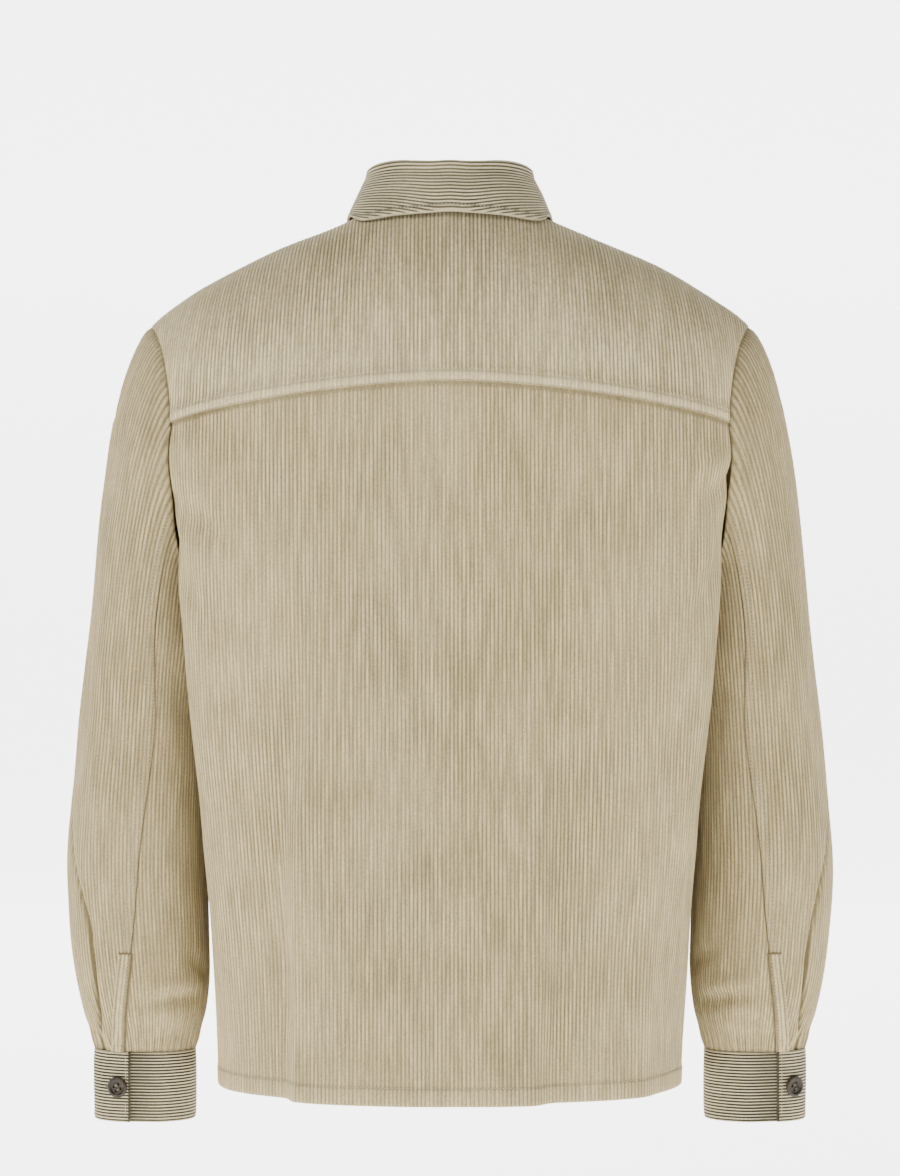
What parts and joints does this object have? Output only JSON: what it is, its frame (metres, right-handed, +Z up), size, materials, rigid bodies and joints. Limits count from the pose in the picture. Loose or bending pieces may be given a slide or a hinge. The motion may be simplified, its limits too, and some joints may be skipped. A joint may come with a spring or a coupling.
{
  "type": "shacket, filled out with no wearer",
  "caption": "Corduroy overshirt with a folded collar, a curved back yoke, long sleeves with buttoned cuffs and a buttoned front, standing open inside as if worn.",
  "frame": {"origin": "middle of the neck opening, level with the seam under the collar at the back", "axes": "+Z up, the front faces -Y, the wearer's left is +X"},
  "size_m": [0.6578, 0.2733, 0.8147],
  "materials": {
    "corduroy": "ribbed cotton pile, matt",
    "horn": "half gloss"
  },
  "bodies": {
    "root": {"back_panel": "corduroy", "yoke": "corduroy", "front_left": "corduroy", "front_right": "corduroy", "sleeve_left": "corduroy", "sleeve_right": "corduroy", "sleeve_placket_left": "corduroy", "sleeve_placket_right": "corduroy", "cuff_left": "corduroy", "cuff_right": "corduroy", "collar_stand": "corduroy", "collar": "corduroy", "button_front_1": "horn", "button_front_2": "horn", "button_front_3": "horn", "button_front_4": "horn", "button_front_5": "horn", "button_front_6": "horn", "button_collar": "horn", "button_cuff_left": "horn", "button_cuff_right": "horn"}
  },
  "joints": []
}
